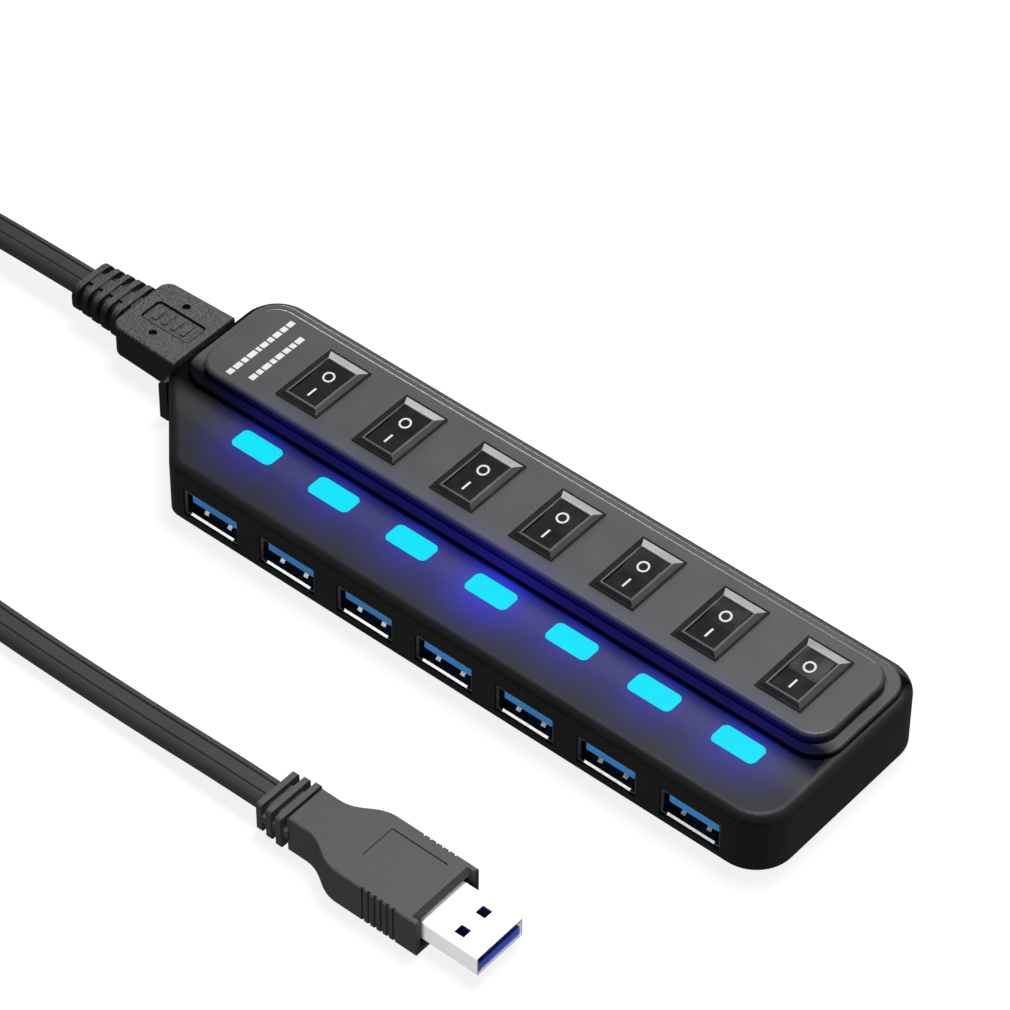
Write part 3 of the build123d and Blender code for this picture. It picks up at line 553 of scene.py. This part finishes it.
def cord_line():
    """Points along the lead's NURBS line, from the hub's plug to the host's plug."""
    lead_in = [tuple(c * MM for c in point) for point in HUB_ROUTE]
    lead_out = [tuple(c * MM for c in point) for point in HOST_ROUTE]
    points = lead_in + coil_points() + lead_out
    data = bpy.data.curves.new("cord_route", "CURVE")
    data.dimensions = "3D"
    data.resolution_u = 10
    spline = data.splines.new("NURBS")
    spline.points.add(len(points) - 1)
    for target, point in zip(spline.points, points):
        target.co = (*point, 1)
    spline.order_u = 3
    spline.use_endpoint_u = True
    curve = bpy.data.objects.new("cord_route", data)
    bpy.context.scene.collection.objects.link(curve)
    bpy.context.view_layer.update()
    line = bpy.data.meshes.new_from_object(curve)
    path = [vertex.co.copy() for vertex in line.vertices]
    bpy.data.meshes.remove(line)
    bpy.data.objects.remove(curve)
    return path


def cord_profile():
    """Section of the flat jacket: a rounded slab with two grooves above and two below."""
    half, thick = CORD_WIDTH / 2, CORD_THICKNESS / 2
    corner = 1.5 * MM
    groove_at = 0.46 * half
    groove_half = 0.28 * MM
    groove_depth = 0.38 * MM
    quarter = []
    for step in range(7):
        angle = math.radians(15 * step)
        quarter.append(
            (half - corner + corner * math.cos(angle), thick - corner + corner * math.sin(angle))
        )
    quarter += [
        (groove_at + groove_half, thick),
        (groove_at, thick - groove_depth),
        (groove_at - groove_half, thick),
    ]
    upper = quarter + [(-x, y) for x, y in reversed(quarter)]
    return upper + [(-x, -y) for x, y in upper]


def tube(name, path, profile):
    """Closed mesh of a section carried along a path with its flat side level."""
    vertices, faces = [], []
    count = len(profile)
    for i, point in enumerate(path):
        ahead = path[min(i + 1, len(path) - 1)]
        behind = path[max(i - 1, 0)]
        forward = (ahead - behind).normalized()
        side = forward.cross(Vector((0, 0, 1))).normalized()
        up = side.cross(forward)
        vertices += [point + side * x + up * y for x, y in profile]
    for ring in range(len(path) - 1):
        start = ring * count
        for k in range(count):
            following = (k + 1) % count
            faces.append((start + k, start + following, start + count + following, start + count + k))
    faces.append(tuple(range(count - 1, -1, -1)))
    last = (len(path) - 1) * count
    faces.append(tuple(range(last, last + count)))
    return new_piece(name, vertices, faces)


def new_piece(name, vertices, faces):
    """A mesh object with outward faces."""
    data = bpy.data.meshes.new(name)
    data.from_pydata(vertices, [], faces)
    shape = bmesh.new()
    shape.from_mesh(data)
    bmesh.ops.recalc_face_normals(shape, faces=shape.faces)
    shape.to_mesh(data)
    shape.free()
    piece = bpy.data.objects.new(name, data)
    bpy.context.scene.collection.objects.link(piece)
    return piece


def smooth_by_angle(piece, degrees):
    """Smooth shading with edges sharper than the angle kept sharp."""
    for face in piece.data.polygons:
        face.use_smooth = True
    piece.data.set_sharp_from_angle(angle=math.radians(degrees))


def make_cord(finish):
    path = cord_line()
    cord = tube("lead_cord", path, cord_profile())
    smooth_by_angle(cord, 50)
    cord.data.materials.append(finish["cord"].material)
    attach(cord, "lead")
    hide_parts("cord_run_hub", "cord_coil", "cord_run_host")


# ---------------------------------------------------------------- printed marks
PRINT_HEIGHT = 0.03 * MM
PRINT_ROOT = 0.04 * MM


def surface_height(node, x, y):
    """Height of a CAD node's top surface at a place, found by a ray from above."""
    above = Vector((x, y, PAD_TOP + 20 * MM))
    place = NODES[node].ray_cast(above, Vector((0, 0, -1)))[1]
    return place.z


def stamp(outlines, node):
    """Vertices and faces of thin closed prisms that lie on a CAD node's top surface."""
    vertices, faces = [], []
    for outer in outlines:
        start, count = len(vertices), len(outer)
        heights = [surface_height(node, x, y) for x, y in outer]
        vertices += [(x, y, z + PRINT_HEIGHT) for (x, y), z in zip(outer, heights)]
        vertices += [(x, y, z - PRINT_ROOT) for (x, y), z in zip(outer, heights)]
        faces.append(tuple(range(start, start + count)))
        faces.append(tuple(range(start + 2 * count - 1, start + count - 1, -1)))
        for k in range(count):
            following = (k + 1) % count
            faces.append((start + k, start + count + k, start + count + following, start + following))
    return vertices, faces


def bar_outline(x, y, width, length):
    return [
        (x - width / 2, y - length / 2),
        (x + width / 2, y - length / 2),
        (x + width / 2, y + length / 2),
        (x - width / 2, y + length / 2),
    ]


def ring(x, y, outer, inner, node, steps=40):
    """Vertices and faces of a thin closed ring on a CAD node's top surface."""
    vertices, faces = [], []
    section = ((outer, PRINT_HEIGHT), (inner, PRINT_HEIGHT), (inner, -PRINT_ROOT), (outer, -PRINT_ROOT))
    for step in range(steps):
        angle = 2 * math.pi * step / steps
        for radius, lift in section:
            px, py = x + radius * math.cos(angle), y + radius * math.sin(angle)
            vertices.append((px, py, surface_height(node, px, py) + lift))
        for k in range(4):
            here, there = 4 * step, 4 * ((step + 1) % steps)
            following = (k + 1) % 4
            faces.append((here + k, here + following, there + following, there + k))
    return vertices, faces


def joined(parts):
    """One list of vertices and faces from several."""
    vertices, faces = [], []
    for part_vertices, part_faces in parts:
        start = len(vertices)
        vertices += part_vertices
        faces += [tuple(start + k for k in face) for face in part_faces]
    return vertices, faces


def make_rocker_marks(finish):
    """An I on the front half and an O on the back half of each rocker."""
    for i in NUMBERS:
        node = f"rocker_{i}"
        x = centre(node).x
        bar = stamp([bar_outline(x, SWITCH_Y - 3.3 * MM, 0.42 * MM, 2.4 * MM)], node)
        circle = ring(x, SWITCH_Y + 1.5 * MM, 1.25 * MM, 0.85 * MM, node)
        mark = new_piece(f"rocker_mark_{i}", *joined([bar, circle]))
        mark.data.materials.append(finish["mark"].material)
        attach(mark, node)


def make_label(finish):
    """Two rows of plain bars across the panel beside the first switch."""
    rows = [
        # place of the row, its shift along Y, and the lengths of its bars in millimetres
        (PANEL_LOW.x + 9.4 * MM, -0.3 * MM, (1.5, 1.9, 1.2, 2.1, 0.8, 1.6, 1.2, 1.7, 1.4, 1.6)),
        (PANEL_LOW.x + 13.7 * MM, -0.6 * MM, (1.6, 1.2, 1.9, 1.1, 1.7, 1.5, 1.2, 1.8)),
    ]
    gap = 0.38 * MM
    outlines = []
    for x, shift, lengths in rows:
        total = sum(lengths) * MM + gap * (len(lengths) - 1)
        y = SWITCH_Y + shift - total / 2
        for length in lengths:
            outlines.append(bar_outline(x, y + length * MM / 2, 1.25 * MM, length * MM))
            y += length * MM + gap
    label = new_piece("panel_label", *stamp(outlines, "switch_panel"))
    label.data.materials.append(finish["mark"].material)
    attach(label, "hub")


# ---------------------------------------------------------------- stage and light
def make_floor():
    size = 3.0
    floor = new_piece(
        "floor",
        [(-size, -size, 0), (size, -size, 0), (size, size, 0), (-size, size, 0)],
        [(0, 1, 2, 3)],
    )
    shader = Shader("floor_paper", (0.16, 0.16, 0.16), 0.9, specular=0.0)
    shader.surface.inputs["Emission Color"].default_value = (1, 1, 1, 1)
    shader.surface.inputs["Emission Strength"].default_value = 0.86
    floor.data.materials.append(shader.material)
    floor.visible_diffuse = False
    floor.visible_glossy = False


def direction(azimuth, elevation):
    """Unit vector, azimuth in degrees from +Y towards +X."""
    a, e = math.radians(azimuth), math.radians(elevation)
    return Vector((math.sin(a) * math.cos(e), math.cos(a) * math.cos(e), math.sin(e)))


def softbox(name, azimuth, elevation, distance, width, height, watts, only):
    """Rectangular light that faces the hub. It lights only the pieces listed, or everything."""
    data = bpy.data.lights.new(name, "AREA")
    data.shape = "RECTANGLE"
    data.size = width
    data.size_y = height
    data.energy = watts
    lamp = bpy.data.objects.new(name, data)
    bpy.context.scene.collection.objects.link(lamp)
    back = direction(azimuth, elevation)
    lamp.location = back * distance
    lamp.rotation_mode = "QUATERNION"
    lamp.rotation_quaternion = back.to_track_quat("Z", "Y")
    if only:
        lit = bpy.data.collections.new(f"{name}_lit")
        for piece in only:
            lit.objects.link(piece)
        lamp.light_linking.receiver_collection = lit


def make_world():
    """Dim surroundings that look white to the camera."""
    world = bpy.data.worlds.new("studio")
    bpy.context.scene.world = world
    world.use_nodes = True
    nodes, links = world.node_tree.nodes, world.node_tree.links
    nodes.clear()
    path = nodes.new("ShaderNodeLightPath")
    dim = nodes.new("ShaderNodeBackground")
    dim.inputs["Color"].default_value = (1, 1, 1, 1)
    dim.inputs["Strength"].default_value = 0.12
    white = nodes.new("ShaderNodeBackground")
    white.inputs["Color"].default_value = (1, 1, 1, 1)
    white.inputs["Strength"].default_value = 1.0
    choice = nodes.new("ShaderNodeMixShader")
    output = nodes.new("ShaderNodeOutputWorld")
    links.new(path.outputs["Is Camera Ray"], choice.inputs["Fac"])
    links.new(dim.outputs["Background"], choice.inputs[1])
    links.new(white.outputs["Background"], choice.inputs[2])
    links.new(choice.outputs["Shader"], output.inputs["Surface"])


def make_lights():
    """One key light for everything, and lights for single pieces that catch it only at a grazing angle."""
    tongues = [NODES[f"port_tongue_{i}"] for i in NUMBERS]
    shells = [NODES[f"port_shell_{i}"] for i in NUMBERS]
    panel = [NODES["switch_panel"]]
    lead = [NODES[name] for name in ("host_plug_grip", "host_plug_shell", "host_plug_tongue")]
    lead.append(bpy.data.objects["lead_cord"])
    lights = (
        # name, azimuth and elevation in degrees, distance, width, height, watts, what it lights
        ("key", -10, 75, 0.9, 0.3, 0.3, 9.0, None),
        ("rim", -29, 21, 0.8, 0.35, 0.16, 1.3, None),
        ("side", 29, 52, 0.9, 0.35, 0.35, 0.5, None),
        ("panel_edge", -33, 6, 0.8, 0.4, 0.3, 4.0, panel),
        ("port_fill", 150, 30, 0.7, 0.4, 0.3, 3.0, tongues),
        ("lip", -139, 46, 0.8, 0.3, 0.3, 0.85, shells),
        ("leaf", -150, 15, 0.7, 0.12, 0.12, 0.35, shells),
        ("lead_fill", 160, 30, 0.7, 0.4, 0.3, 4.5, lead),
    )
    for light in lights:
        softbox(*light)


scene = bpy.context.scene
scene.view_settings.view_transform = "Standard"
make_camera()
finish = make_materials()
paint_nodes(finish)
round_edges(0.10 * MM, *[f"{stem}_{i}" for stem in ("switch_body", "rocker") for i in NUMBERS])
make_cord(finish)
make_rocker_marks(finish)
make_label(finish)
make_floor()
make_world()
make_lights()
